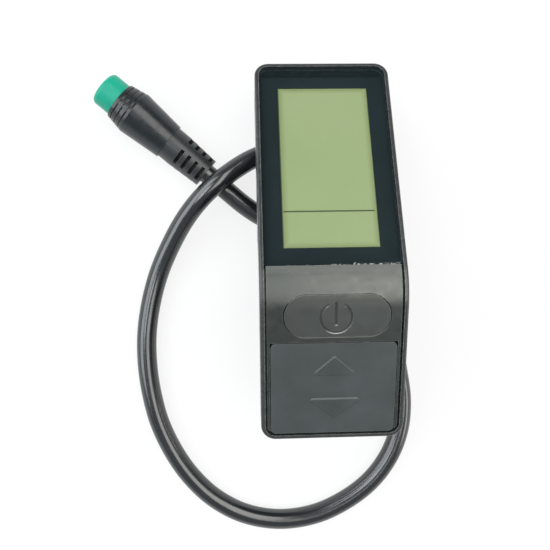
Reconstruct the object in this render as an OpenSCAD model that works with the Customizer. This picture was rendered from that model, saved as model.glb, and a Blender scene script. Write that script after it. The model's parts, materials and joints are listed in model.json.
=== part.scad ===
// Handlebar display for an electric bicycle, lying on its back on a table.
// A bent housing carries a screen and a keypad on both sides of a rounded ridge, a split
// clamp under the ridge holds the bar, and one cable ends in a round plug.
// The part stands on z = 0, x runs across it and +y runs towards the top of the screen.
// The display is drawn in its own frame: the ridge is the x axis, the screen is the plane z = 0
// on the +y side, and the keypad plane falls away on the other side. Depths count inwards from
// the front skin. device_pose() then lays it down on its clamp and its cable hood.

/* [Housing] */
// Overall width
body_w = 30; // [29:0.5:34]
// Length of the screen side, from the ridge to its far end
screen_len = 53.5; // [53:0.5:60]
// Length of the keypad side, from the ridge to its far end
keypad_len = 33; // [33:0.5:38]
// Angle between the screen and the keypad side
bend_angle = 35; // [33:1:37]
// Radius of the rounded ridge
ridge_r = 14; // [12:0.5:15]
// Thickness of the screen side
screen_t = 13.2; // [12.6:0.2:15]
// Thickness of the keypad side
keypad_t = 9; // [8.8:0.2:10.4]
// Corner radius seen from the front
corner_r = 3.1; // [2.9:0.1:3.6]
// Thickness of the housing's walls
wall_t = 1.6; // [1.5:0.1:1.8]
// Width of the raised rim around the front
rim_w = 0.9; // [0.7:0.05:1]
// Rounding of the rim's outer edge
rim_edge_r = 0.45; // [0.3:0.05:0.6]
// Rounding of the rear edges
rear_edge_r = 2.4; // [1.5:0.1:2.6]
// Depth of the joint between the front frame and the rear shell
seam_d = 5.2; // [5:0.1:5.4]

/* [Screen] */
// How far the lens lies below the rim
lens_recess = 0.2; // [0.1:0.05:0.3]
// Thickness of the lens
lens_t = 1.1; // [0.9:0.05:1.2]
// Thickness of the printed film under the lens
film_t = 0.1; // [0.08:0.02:0.16]
// Lower edge of the lens, from the ridge
lens_start = 5.1; // [5:0.1:6]
// Distance of the film's clear window from the housing's sides
window_side = 5; // [4.6:0.1:6]
// Lower edge of the window, from the ridge
window_start = 9.25; // [9:0.25:11]
// Distance of the window from the far end of the screen side
window_end = 5.85; // [5.75:0.1:9]
// Distance of the display glass from the housing's sides
lcd_side = 3.5; // [3.3:0.1:4]
// Distance of the display glass from the far end of the screen side
lcd_end = 5.2; // [5:0.1:5.6]
// Lower edge of the display glass, from the ridge
lcd_start = 7.1; // [7:0.1:7.3]
// Thickness of the display glass
lcd_t = 1.4; // [1.2:0.05:1.45]
// Thickness of the light guide behind it
guide_t = 1; // [0.8:0.05:1]

/* [Keypad] */
// How far the keypad cover lies below the rim
cover_recess = 0.25; // [0.15:0.05:0.3]
// Thickness of the keypad cover
cover_t = 1.1; // [0.9:0.05:1.1]
// Gap between the keypad cover and the rim
cover_gap = 0.45; // [0.3:0.05:0.6]
// Distance of the power key from the housing's sides
power_side = 4.2; // [4:0.1:6]
// How far the power key's middle lies to the right of the housing's middle
power_shift = 0.6; // [0:0.1:0.7]
// Height of the power key
power_h = 8.75; // [8:0.05:9.2]
// Upper edge of the power key, from the ridge
power_start = 1.45; // [1:0.05:1.6]
// Distance of the rocker key from the housing's sides
rocker_side = 2.05; // [2:0.05:3]
// Width of the cover between the two keys
key_bridge = 1.4; // [1.35:0.05:2]
// Distance of the rocker's switches from its two ends
switch_end = 3.825; // [3.525:0.1:4.225]
// Travel of the power key
key_travel = 0.3; // [0.2:0.02:0.3]
// Running gap around the keys
key_gap = 0.16; // [0.12:0.02:0.2]
// Diameter of the rocker's pin
pin_d = 1.5; // [1.3:0.1:1.5]

/* [Electronics] */
// Thickness of the circuit boards
board_t = 0.8; // [0.6:0.05:0.8]
// Distance of the main board from the housing's sides
main_board_side = 2.4; // [2.1:0.1:3]
// Distance of the keypad board from the housing's sides
key_board_side = 5.9; // [5.8:0.1:7]
// Footprint of a key switch
switch_w = 4.5; // [4:0.1:5]
// Height of a key switch's body
switch_h = 1.3; // [1.2:0.05:1.35]
// Diameter of a key switch's plunger
plunger_d = 1.8; // [1.4:0.1:2]

/* [Clamp] */
// Diameter of the handlebar that the clamp fits
bar_d = 22.2; // [21.8:0.1:23]
// Width of the clamp along the bar
clamp_w = 16; // [14:0.5:18]
// Radial thickness of the clamp
clamp_t = 5.2; // [5:0.1:6]
// Thickness of the rubber strip in the cap
liner_t = 0.8; // [0.6:0.1:1]
// Gap between the two halves of the clamp
split_gap = 0.6; // [0.4:0.1:1]
// Distance from the bar's axis to the clamp screws
clamp_screw_at = 14.6; // [14.5:0.1:15.4]
// Diameter of the clamp screws
clamp_screw_d = 3; // [2.5:0.1:3]

/* [Cable and plug] */
// Diameter of the cable
cable_d = 4.8; // [4.4:0.1:5]
// Length of the strain relief outside its hood
gland_len = 10.5; // [9:0.5:10.5]
// Diameter of the plug's widest ring
plug_d = 10.9; // [10:0.1:11.4]
// Diameter of the plug's rear grip
boot_d = 8.3; // [8:0.1:8.6]
// Length of the slotted boot
boot_len = 11.6; // [11:0.2:12.4]
// Length of the plug's tapered body
plug_body_len = 14.7; // [13:0.1:17]
// Diameter of the coloured nose
nose_d = 8.3; // [7.8:0.1:8.6]
// How far the coloured nose stands out
nose_len = 5; // [4:0.1:6]
// Number of contacts
contact_n = 5; // [3:1:6]

/* [Hidden] */
$fn = 64;

// Reach of cutters past the faces that they cut
overrun = 2;
// Reach of outlines that other shapes trim
reach = 90;
// Overlap of shapes that become one solid
weld = 0.2;
// Gap between pieces that rest on each other
seat_gap = 0.05;
// Gap around a piece that is dropped into its pocket
drop_gap = 0.15;

// Roundings stand this little proud of the faces that they meet, so the solids stay clean
ridge_proud = 0.003;
edge_proud = 0.006;

// Front frame: shelf under the lens and the cover
shelf_w = 0.7;
shelf_t = 0.7;
shelf_d = lens_recess + lens_t + film_t;
frame_boss_r = 1.8;
// Corner screws: how far their middles lie in from the sides and the ends
corner_screw_side = 4;
corner_screw_end = 3.3;
keypad_screw_side = 3.3;

// Screws that close the housing
case_screw_r = 0.75;
case_screw_play = 0.05;
case_head_r = 1.45;
case_head_h = 1;
case_head_play = 0.2;
case_head_cover = 0.5;
case_screw_top_d = 2.6;
shell_boss_r = 2.6;
recess_r = 0.45;
recess_h = 0.6;

// Rear shell: clamp seat and bar groove
floor_gap = 0.35;
link_t = 0.15;
saddle_wall = 1.3;
groove_gap = 0.5;
bar_r = bar_d / 2;
groove_r = bar_r + groove_gap;
half_bend = bend_angle / 2;

// Depths of the layers under the screen
lens_film_d = lens_recess + lens_t;
lcd_d = shelf_d + seat_gap;
guide_d = lcd_d + lcd_t + seat_gap;
holder_floor_d = guide_d + guide_t;
holder_floor_t = 0.4;
board_d = holder_floor_d + holder_floor_t + seat_gap;
board_back_d = board_d + board_t;
holder_wall = 1;
holder_gap = 0.1;

// Depths of the layers under the keys
key_plate_d = cover_recess + cover_t;
flange_play = 0.05;
flange_t = 0.35;
flange_w = 0.7;
seal_play = 0.1;
seal_t = 0.45;
seal_d = key_plate_d + flange_play + flange_t + key_travel + seal_play;
key_board_d = board_d;
switch_top_d = key_board_d - switch_h;
plunger_rise = 0.45;
plunger_top_d = switch_top_d - plunger_rise;
plunger_sunk = 0.6;
plunger_play = 0.1;
stem_play = 0.03;
stem_r = 1.2;
stem_hole_play = 0.25;

// Rocker key
rocker_recess = 0.1;
cover_arm_w = 0.55;
rocker_end_gap = 0.45;
rocker_end_play = 0.15;
rocker_dip = 0.5;
rocker_corner_r = 1.1;
lug_t = 2;
lug_wall = 0.75;
lug_side = 1.4;
pin_play = 0.05;
pin_r = pin_d / 2;
pin_end_depth = 0.8;

// The bar's axis lies below the ridge, as deep as the boards, the wall and the groove ask
bar_depth = board_back_d + link_t + floor_gap + saddle_wall + groove_r;
bar_axis = [bar_depth * tan(half_bend), -bar_depth];
clamp_r = bar_r + clamp_t;
ear_past_screw = 2.9;
ear_end = clamp_screw_at + ear_past_screw;
ear_h = 4.5;
ear_corner_r = 3.2;
saddle_ear_h = 7.5;
insert_r = 2;
insert_len = 5;
insert_boss_r = 3.3;
insert_boss_h = 6.6;
clamp_screw_play = 0.2;
clamp_head_r = 2.75;
clamp_head_h = 1.9;
clamp_head_sunk = 1.4;
clamp_head_play = 0.25;
clamp_socket_r = 1.3;
clamp_socket_h = 1.1;
clamp_thread_end = 0.6;
ear_relief = 0.3;
rib_t = 2.2;
rib_n = 3;
cap_web_t = 1.5;
pocket_margin = 3.5;
liner_margin = 1;

// Cable hood and strain relief
hood_side = 2;
hood_end = 12.5;
hood_wall = 1.3;
hood_len = 9;
hood_x = body_w / 2 - hood_side - hood_len;
hood_v = screen_len - hood_end;
hood_bevel = 2.5;
gland_r = 3.75;
gland_gap = 0.25;
gland_collar_len = 1.6;
gland_neck_r = 2.6;
gland_tip_r = 3;
gland_flange_r = 3.1;
gland_flange_len = 1;
gland_slot_n = 4;
gland_slot_w = 0.7;
gland_slot_depth = 0.45;
gland_slot_first = 2.6;
hood_cavity_r = gland_flange_r + drop_gap;
hood_r = hood_cavity_r + hood_wall;
hood_axis_d = screen_t + gland_r + gland_gap;
wire_r = 0.42;
wire_pitch = 1.1;
wire_n = 5;
wire_run = 0.9;
wire_bend_r = 0.9;
wire_slot_play = 0.35;

// Parts on the main board: footprints, heights and places from the board's side and the ends
main_board_w = body_w - 2 * main_board_side;
chip_size = [7, 7, 1];
chip_v = 21;
chip_at = [0, chip_v];
regulator_size = [6.5, 6, 2.3];
regulator_side = 5.6;
regulator_end = 22.5;
regulator_at = [regulator_side - main_board_w / 2, screen_len - regulator_end];
crystal_size = [5, 2.2, 1.4];
crystal_side = 5.1;
crystal_past_chip = 1.3;
crystal_at = [main_board_w / 2 - crystal_side,
              chip_v + (chip_size[1] + crystal_size[1]) / 2 + crystal_past_chip];
capacitor_r = 2.4;
capacitor_h = 4.6;
capacitor_side = 6.6;
capacitor_end = 10.5;
capacitor_at = [capacitor_side - main_board_w / 2, screen_len - capacitor_end];
header_size = [4.2, 7, 3.6];
led_size = [2.2, 0.9, 0.6];
led_n = 3;
led_pitch = 6;
board_start = 3;
board_end_gap = 0.4;
key_board_end_gap = 2.2;
link_w = 8;
link_overlap = 4.5;
post_r = 1.3;
post_side = 2.2;
post_first = 20;
post_end = 7.5;
post_at = [post_first, screen_len - post_end];
strip_side = 1.5;
strip_depth = 1.5;
strip_inset = 0.25;

// Seam gasket
gasket_w = 0.6;
gasket_h = 0.6;
gasket_outer = 0.5;
gasket_play = 0.05;

// The ridge arc touches both planes at this distance from the ridge
ridge_reach = ridge_r * tan(half_bend);
ridge_centre = [ridge_reach, -ridge_r];
front_start = lens_start - seat_gap;
rocker_end = keypad_len - rim_w - rocker_end_gap;
power_len = body_w - 2 * power_side;
power_u = power_start + power_h / 2;
rocker_w = body_w - 2 * rocker_side;
rocker_start = power_start + power_h + key_bridge;
rocker_len = rocker_end - rocker_start;
rocker_mid = (rocker_start + rocker_end) / 2;
switch_pitch = rocker_len - 2 * switch_end;
key_board_w = body_w - 2 * key_board_side;
window_w = body_w - 2 * window_side;
window_len = screen_len - window_start - window_end;
lcd_w = body_w - 2 * lcd_side;
lcd_len = screen_len - lcd_start - lcd_end;
strip_w = lcd_w - 2 * strip_side;
pin_at_d = key_board_d - pin_r - drop_gap;
cover_w = body_w - 2 * (rim_w + cover_gap);
inner_w = body_w - 2 * wall_t;
power_button_recess = cover_recess - rocker_recess;

// The display lies on the clamp and on the cable hood: this tilt brings both down to z = 0
hood_axis = [hood_v, -hood_axis_d];
rest_arm = hood_axis - bar_axis;
rest_tilt = asin((clamp_r - hood_r) / norm(rest_arm)) + atan2(rest_arm[1], rest_arm[0]);
rest_lift = clamp_r + bar_axis[0] * sin(rest_tilt) - bar_axis[1] * cos(rest_tilt);
rest_y_max = (screen_len - rim_edge_r) * cos(rest_tilt) - rim_edge_r * sin(rest_tilt) + rim_edge_r;
keypad_fall = bend_angle - rest_tilt;
rest_y_min = -(keypad_len - rim_edge_r) * cos(keypad_fall) + rim_edge_r * sin(keypad_fall) - rim_edge_r;
rest_y_mid = (rest_y_max + rest_y_min) / 2;

// The cable's route on the table, from the strain relief round to the plug
gland_tip = [hood_x - gland_len,
             hood_v * cos(rest_tilt) - hood_axis_d * sin(rest_tilt) - rest_y_mid, hood_r];
cable_lead = [-3.7, -0.15, 0.15];
cable_sides = 10;
plug_at = [-26.95, 17.95];
plug_yaw = 139.5;
route_points = [
  [-14.8, 21.4, 5.5], [-19.2, 18.9, 6.7], [-23.4, 15.7, 8], [-27.9, 11.7, 7.7],
  [-32.2, 6.6, 6], [-36.1, 0.2, 3.9], [-39.2, -6.6, 2.7], [-41.3, -14, 2.4],
  [-42.4, -21.5, 2.4], [-42.4, -29, 2.4], [-41.5, -36.2, 2.4], [-39.7, -43.4, 2.4],
  [-36.5, -50.6, 2.4], [-32.2, -57.1, 2.4], [-26.4, -62.8, 2.4], [-19, -66.9, 2.4],
  [-10.4, -68.6, 2.4], [-1.6, -67.6, 2.4], [6, -64.4, 2.4], [12.6, -59.6, 2.4],
  [17.4, -53.4, 2.4], [20.1, -46.5, 2.4], [20.8, -39, 2.4], [19.9, -31.5, 2.4],
  [18.5, -23.5, 2.4], [16.9, -15.6, 2.4], [15, -8.2, 2.4], [12.6, -1.8, 2.4],
  [8.6, 2.9, 2.4], [3.4, 5.3, 2.4], [-2.4, 5.6, 2.4], [-8, 5.7, 2.4],
  [-13.1, 7.1, 2.4], [-17.5, 9.9, 2.4], [-21.8, 13.5, 2.6]];

// Plug: stations along its axis, from the cable end of the boot to the tip of the nose
boot_tip_r = 3.7;
boot_slot_w = 0.9;
boot_slot_rows = 4;
boot_slot_n = 4;
boot_slot_depth = 1.3;
boot_slot_pitch = 2.08;
boot_slot_first = 0.6;
boot_slot_arc = 58;
boot_slot_turn = 129;
boot_neck_len = 3.6;
plug_step = 0.35;
plug_collar_len = 4.3;
plug_collar_tip_r = 4.6;
plug_ring_n = 3;
plug_ring_w = 0.45;
plug_ring_depth = 0.35;
plug_ring_pitch = 1.3;
plug_ring_first = 0.7;
nose_root_len = 2;
nose_edge_r = 1;
nose_key_w = 1.4;
nose_key_depth = 0.6;
contact_r = 0.45;
contact_play = 0.05;
contact_len = 6;
contact_sunk = 0.3;
contact_ring_share = 0.5;
plug_arm = boot_len + plug_body_len - plug_collar_len;
plug_pitch = asin((plug_d / 2 - boot_tip_r) / plug_arm);

// Point of the keypad side at a distance u from the ridge and a depth d below the skin
function keypad_point(u, d) =
  [-u * cos(bend_angle) + d * sin(bend_angle), -u * sin(bend_angle) - d * cos(bend_angle)];

// Lays the display down on the table
module device_pose() {
  translate([0, -rest_y_mid, rest_lift])
    rotate([-rest_tilt, 0, 0])
      children();
}

// Frame of the keypad side: the same as the screen's, with y running back towards the ridge
module keypad_frame() {
  rotate([bend_angle, 0, 0])
    children();
}

// Frame of the clamp: y runs along the split towards the screen, z along the screws
module clamp_frame() {
  translate([0, bar_axis[0], bar_axis[1]])
    rotate([half_bend, 0, 0])
      children();
}

// Side view, y to the right and z up, drawn out along x
module across(width) {
  rotate([90, 0, 90])
    linear_extrude(width, center = true)
      children();
}

// Side view of all that lies deeper than d under the bent front skin
module skin(d) {
  polygon([[reach, -d], [ridge_reach, -d], ridge_centre, keypad_point(ridge_reach, d),
           keypad_point(reach, d), keypad_point(reach, reach), [reach, -2 * reach]]);
  translate(ridge_centre)
    circle(r = ridge_r - d + ridge_proud);
}

// Side view of the screen and keypad slabs, drawn in from their ends
module slabs(screen_depth, keypad_depth, inset) {
  translate([0, -screen_depth])
    square([screen_len - inset, screen_depth + overrun]);
  rotate(bend_angle)
    translate([inset - keypad_len, -keypad_depth])
      square([keypad_len - inset, keypad_depth + overrun]);
}

// Corner left outside a rounding of radius r that is drawn round the origin
module corner_waste(r) {
  difference() {
    square(r + overrun);
    circle(r = r + ridge_proud);
  }
}

// Rounds the four far corners, seen from the front, of a body between two sides and two ends
module corner_cuts(width, screen_end, keypad_end, r) {
  for (side = [0, 1])
    mirror([side, 0, 0]) {
      translate([width / 2 - r, screen_end - r, 0])
        linear_extrude(reach, center = true)
          corner_waste(r);
      keypad_frame()
        mirror([0, 1, 0])
          translate([width / 2 - r, keypad_end - r, 0])
            linear_extrude(reach, center = true)
              corner_waste(r);
    }
}

// Bent plate between two depths, with its edges drawn in from the housing's sides and ends
module bent_plate(d0, d1, inset, r) {
  difference() {
    across(body_w - 2 * inset)
      intersection() {
        difference() {
          skin(d0);
          skin(d1);
        }
        slabs(ridge_r, ridge_r, inset);
      }
    corner_cuts(body_w - 2 * inset, screen_len - inset, keypad_len - inset, r);
  }
}

// Corner left outside a rounding of radius r, with the edge at the origin
module edge_waste(r) {
  difference() {
    translate([-r, -r])
      square(r + overrun);
    translate([-r, -r])
      circle(r = r + edge_proud);
  }
}

// Rounds the edge of a slab's face z = 0 along both sides, two corners and the far end
module edge_cut(start, end, r) {
  for (side = [0, 1])
    mirror([side, 0, 0]) {
      translate([body_w / 2, end - corner_r, 0])
        rotate([90, 0, 0])
          linear_extrude(end - corner_r - start)
            edge_waste(r);
      translate([body_w / 2 - corner_r, end - corner_r, 0])
        rotate_extrude(angle = 90)
          translate([corner_r, 0])
            edge_waste(r);
    }
  translate([0, end, 0])
    rotate([90, 0, 90])
      linear_extrude(body_w - 2 * corner_r, center = true)
        edge_waste(r);
}

// Section of the front frame's outer form, with both upper edges rounded
module rim_section(depth) {
  difference() {
    translate([-body_w / 2, -depth])
      square([body_w, depth]);
    for (side = [0, 1])
      mirror([side, 0])
        translate([body_w / 2, 0])
          edge_waste(rim_edge_r);
  }
}

// One flat side of the front frame's outer form, from the ridge's arc to its far end
module rim_side(end, depth) {
  difference() {
    translate([-body_w / 2, ridge_reach, -depth])
      cube([body_w, end - ridge_reach, depth]);
    edge_cut(ridge_reach - overrun, end, rim_edge_r);
  }
}

// Front frame's outer form: two flat sides joined by a turned ridge
module rim_form(depth) {
  rim_side(screen_len, depth);
  keypad_frame()
    mirror([0, 1, 0])
      rim_side(keypad_len, depth);
  translate([0, ridge_centre[0], ridge_centre[1]])
    rotate([0, 90, 0])
      rotate([0, 0, 180])
        rotate_extrude(angle = bend_angle)
          translate([ridge_r, 0])
            mirror([1, -1])
              rim_section(depth);
}

// Places its children at the housing's corner screws, on the screen side and the keypad side
module at_screen_screws() {
  for (side = [0, 1])
    mirror([side, 0, 0])
      translate([body_w / 2 - corner_screw_side, screen_len - corner_screw_end, 0])
        children();
}

module at_keypad_screws() {
  keypad_frame()
    for (side = [0, 1])
      mirror([side, 0, 0])
        translate([body_w / 2 - keypad_screw_side, corner_screw_end - keypad_len, 0])
          children();
}

// Block that fills a corner of the frame round a screw, from depth d to just above the seam
module corner_block(d, side_way, end_way) {
  translate([-frame_boss_r, -frame_boss_r, seat_gap - seam_d])
    cube([frame_boss_r + side_way - wall_t + weld, frame_boss_r + end_way - wall_t + weld,
          seam_d - seat_gap - d]);
}

// Square corner taken out of a board or a sheet round a screw boss, on the +x side
module corner_notch() {
  translate([-frame_boss_r - drop_gap, -frame_boss_r - drop_gap, -reach])
    cube(2 * reach);
}

// Round bar down from depth d0 to depth d1
module post(d0, d1, r) {
  translate([0, 0, -d1])
    cylinder(r = r, h = d1 - d0);
}

module front_frame() {
  color("#2b2f31")
    device_pose()
      difference() {
        union() {
          difference() {
            rim_form(seam_d + overrun / 2);
            across(body_w + overrun)
              skin(seam_d);
            corner_cuts(body_w, screen_len, keypad_len, corner_r);
            bent_plate(-overrun / 2, shelf_d, rim_w, corner_r - rim_w);
            bent_plate(-overrun / 2, seam_d + overrun, wall_t + shelf_w, corner_r - rim_w);
            bent_plate(shelf_d + shelf_t, seam_d + overrun, wall_t, corner_r - rim_w);
            rocker_clearance();
          }
          at_screen_screws()
            corner_block(shelf_d + seat_gap, corner_screw_side, corner_screw_end);
          at_keypad_screws()
            mirror([0, 1, 0])
              corner_block(key_plate_d + shelf_t, keypad_screw_side, corner_screw_end);
        }
        at_screen_screws()
          post(case_screw_top_d - drop_gap, seam_d + overrun, case_screw_r + case_screw_play);
        at_keypad_screws()
          post(case_screw_top_d - drop_gap, seam_d + overrun, case_screw_r + case_screw_play);
        pin_slots();
        gasket_track(gasket_play);
      }
}

// The shelf stops, and the end wall steps back, where the rocker key dips below them
module rocker_clearance() {
  keypad_frame() {
    translate([-inner_w / 2, -keypad_len + wall_t, -seam_d - overrun])
      cube([inner_w, keypad_len - wall_t - rocker_start + key_gap, seam_d + overrun]);
    translate([-rocker_w / 2, -rocker_end - rocker_end_play, -key_plate_d - rocker_dip])
      cube([rocker_w, rocker_len / 2, key_plate_d + rocker_dip]);
  }
}

// Slots in the side walls that carry the rocker's pin, open towards the rear shell
module pin_slots() {
  slot_w = inner_w + 2 * (pin_end_depth + drop_gap / 2);
  keypad_frame()
    translate([0, -rocker_mid, 0]) {
      translate([0, 0, -pin_at_d])
        rotate([0, 90, 0])
          cylinder(r = pin_r + pin_play, h = slot_w, center = true);
      translate([-slot_w / 2, -pin_r - pin_play, -seam_d - overrun])
        cube([slot_w, 2 * (pin_r + pin_play), seam_d + overrun - pin_at_d]);
    }
}

// Ring between two insets from the outside, across the seam
module gasket_track(play) {
  difference() {
    bent_plate(seam_d - gasket_h / 2 - play, seam_d + gasket_h / 2 + play,
               gasket_outer - play, corner_r - gasket_outer);
    bent_plate(seam_d - gasket_h, seam_d + gasket_h,
               gasket_outer + gasket_w + play, corner_r - gasket_outer - gasket_w);
  }
}

module case_gasket() {
  color("#3a3d3f")
    device_pose()
      gasket_track(0);
}

// Side view of the clamp on the display's side of the split
module saddle_profile() {
  difference() {
    intersection() {
      translate(bar_axis)
        rotate(half_bend)
          intersection() {
            union() {
              circle(r = clamp_r);
              translate([-ear_end, 0])
                square([2 * ear_end, saddle_ear_h]);
            }
            translate([-reach, split_gap / 2])
              square([2 * reach, reach]);
          }
      skin(seam_d);
    }
    shell_pocket_profile();
  }
}

// Side view of the room inside the rear shell
module shell_pocket_profile() {
  difference() {
    slabs(screen_t - wall_t, keypad_t - wall_t, wall_t);
    translate(bar_axis)
      circle(r = groove_r + saddle_wall);
  }
}

// Screen slab and keypad slab behind the seam, rounded at their rear edges
module shell_block() {
  difference() {
    across(body_w)
      intersection() {
        skin(seam_d);
        slabs(screen_t, keypad_t, 0);
      }
    corner_cuts(body_w, screen_len, keypad_len, corner_r);
    translate([0, 0, -screen_t])
      mirror([0, 0, 1])
        edge_cut(bar_axis[0] + groove_r * cos(half_bend), screen_len, rear_edge_r);
    keypad_frame()
      translate([0, 0, -keypad_t])
        mirror([0, 1, 0])
          mirror([0, 0, 1])
            edge_cut(bar_axis[0] + groove_r / 2, keypad_len, rear_edge_r);
  }
}

module shell_pocket() {
  difference() {
    across(inner_w)
      shell_pocket_profile();
    corner_cuts(inner_w, screen_len - wall_t, keypad_len - wall_t, corner_r - wall_t);
  }
}

// Round-backed block over the cable's inner end, from x0 to x1 and up to the depth top_d
module hood_form(r, x0, x1, top_d) {
  translate([(x0 + x1) / 2, hood_v, -hood_axis_d])
    across(x1 - x0) {
      circle(r = r);
      translate([ridge_proud - r, 0])
        square([2 * (r - ridge_proud), hood_axis_d - top_d]);
    }
}

// Hood with its closed end bevelled at both sides and below
module hood() {
  end = hood_x + hood_len;
  flat = hood_r - hood_bevel;
  intersection() {
    hood_form(hood_r, hood_x, end, screen_t - wall_t + weld);
    translate([0, hood_v, -hood_axis_d])
      rotate([90, 0, 0])
        linear_extrude(3 * hood_r, center = true)
          polygon([[0, -2 * hood_r], [end - hood_bevel - hood_r, -2 * hood_r], [end, -flat],
                   [end, reach], [0, reach]]);
    translate([0, hood_v, -reach])
      linear_extrude(reach)
        polygon([[0, -2 * hood_r], [end - hood_bevel - hood_r, -2 * hood_r], [end, -flat],
                 [end, flat], [end - hood_bevel - hood_r, 2 * hood_r], [0, 2 * hood_r]]);
  }
}

// Places its children at the clamp's screws, in the clamp's frame
module at_clamp_screws() {
  clamp_frame()
    for (side = [-1, 1])
      translate([0, side * clamp_screw_at, 0])
        children();
}

module rear_shell() {
  color("#26292b")
    device_pose()
      difference() {
        union() {
          difference() {
            shell_block();
            shell_pocket();
            clamp_frame()
              rotate([0, 90, 0])
                cylinder(r = groove_r, h = body_w + overrun, center = true);
          }
          across(clamp_w)
            saddle_profile();
          intersection() {
            at_clamp_screws()
              translate([0, 0, split_gap / 2])
                cylinder(r = insert_boss_r, h = insert_boss_h);
            across(body_w)
              slabs(screen_t + ear_h, keypad_t + ear_h, wall_t);
          }
          at_screen_screws()
            post(seam_d, screen_t - wall_t + weld, shell_boss_r);
          at_keypad_screws()
            post(seam_d, keypad_t - wall_t + weld, shell_boss_r);
          board_posts();
          hood();
        }
        clamp_frame()
          rotate([0, 90, 0])
            cylinder(r = bar_r, h = clamp_w + overrun, center = true);
        at_clamp_screws()
          cylinder(r = insert_r, h = split_gap / 2 + insert_len + clamp_thread_end);
        cap_relief();
        at_screen_screws()
          case_screw_hole(screen_t);
        at_keypad_screws()
          case_screw_hole(keypad_t);
        hood_form(hood_cavity_r, hood_x + hood_wall, hood_x + hood_len - 2 * hood_wall,
                  screen_t + weld);
        wire_opening();
        hood_mouth();
        gasket_track(gasket_play);
      }
}

// Room for the cap's ears where they come close to the shell
module cap_relief() {
  clamp_frame()
    for (side = [0, 1])
      mirror([0, side, 0])
        translate([-clamp_w / 2 - ear_relief, bar_r, -ear_h - ear_relief])
          cube([clamp_w + 2 * ear_relief, ear_end + ear_relief - bar_r, ear_h + ear_relief]);
}

// Stepped hole for a case screw, from a slab's back face
module case_screw_hole(back_d) {
  seat_d = back_d - case_head_h - case_head_cover;
  post(seam_d - overrun, seat_d + weld, case_screw_r + case_head_play);
  post(seat_d, back_d + overrun, case_head_r + case_head_play);
}

module hood_mouth() {
  translate([hood_x - overrun, hood_v, -hood_axis_d])
    rotate([0, 90, 0])
      cylinder(r = gland_neck_r + seat_gap, h = overrun + hood_wall + weld);
}

// The wires come up through this opening in the floor of the shell
module wire_opening() {
  wire_x = hood_x + hood_wall + gland_flange_len + wire_run + wire_bend_r;
  half_x = wire_r + wire_slot_play;
  half_y = wire_pitch * (wire_n - 1) / 2 + wire_r + wire_slot_play;
  translate([wire_x - half_x, hood_v - half_y, -hood_axis_d])
    cube([2 * half_x, 2 * half_y, hood_axis_d - screen_t + wall_t + overrun]);
}

// Posts that hold up the main board
module board_posts() {
  for (side = [-1, 1])
    for (v = post_at)
      translate([side * (inner_w / 2 - post_side), v, 0])
        post(board_back_d + seat_gap, screen_t - wall_t + weld, post_r);
}

module lens() {
  color("#9fb2b8", 0.3)
    device_pose()
      screen_plate(lens_recess, lens_recess + lens_t, rim_w + seat_gap, lens_start);
}

// Flat plate on the screen side, from v0 up to the inset end
module screen_plate(d0, d1, inset, v0) {
  intersection() {
    bent_plate(d0, d1, inset, corner_r - inset);
    translate([-body_w / 2, v0, -reach])
      cube([body_w, reach, 2 * reach]);
  }
}

module lens_film() {
  color("#10171c")
    device_pose()
      difference() {
        screen_plate(lens_film_d, lens_film_d + film_t, rim_w + drop_gap, lens_start + drop_gap);
        translate([-window_w / 2, window_start, -shelf_d - overrun])
          cube([window_w, window_len, shelf_d + overrun]);
      }
}

// Plan of the power key in the keypad's frame, grown by g
module power_plan(g) {
  r = power_h / 2;
  translate([power_shift, -power_u]) {
    for (side = [-1, 1])
      translate([side * (power_len / 2 - r), 0])
        circle(r = r + g);
    translate([r - power_len / 2, -r - g])
      square([power_len - 2 * r, 2 * (r + g)]);
  }
}

// Slice of the keypad side under a plan, between two depths below the bent skin
module keypad_slice(d0, d1) {
  intersection() {
    across(body_w)
      difference() {
        skin(d0);
        skin(d1);
      }
    keypad_frame()
      translate([0, 0, -reach])
        linear_extrude(2 * reach)
          children();
  }
}

module keypad_cover() {
  color("#33383a")
    device_pose()
      difference() {
        bent_plate(cover_recess, key_plate_d, rim_w + cover_gap, corner_r - rim_w - cover_gap);
        translate([-body_w / 2, front_start, -reach])
          cube([body_w, reach, 2 * reach]);
        keypad_slice(0, seam_d)
          power_plan(key_gap);
        keypad_frame()
          translate([cover_arm_w - cover_w / 2, -reach - rocker_start + key_gap, -reach])
            cube([cover_w - 2 * cover_arm_w, reach, 2 * reach]);
      }
}

module power_button() {
  color("#3c4143")
    device_pose() {
      keypad_slice(power_button_recess, key_plate_d + flange_play + weld)
        power_plan(0);
      keypad_slice(key_plate_d + flange_play, key_plate_d + flange_play + flange_t)
        power_plan(flange_w);
      keypad_frame()
        translate([0, -power_u, 0])
          post(key_plate_d, plunger_top_d - stem_play, stem_r);
    }
}

// Flat plate of the rocker key with rounded corners
module rocker_plate() {
  half_w = rocker_w / 2 - rocker_corner_r;
  translate([0, 0, -key_plate_d])
    linear_extrude(key_plate_d - rocker_recess)
      union() {
        translate([-rocker_w / 2, rocker_corner_r - rocker_end])
          square([rocker_w, rocker_len - 2 * rocker_corner_r]);
        translate([-half_w, -rocker_end])
          square([2 * half_w, rocker_len]);
        for (sx = [-1, 1])
          for (y = [rocker_corner_r - rocker_end, -rocker_start - rocker_corner_r])
            translate([sx * half_w, y])
              circle(r = rocker_corner_r);
      }
}

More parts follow.
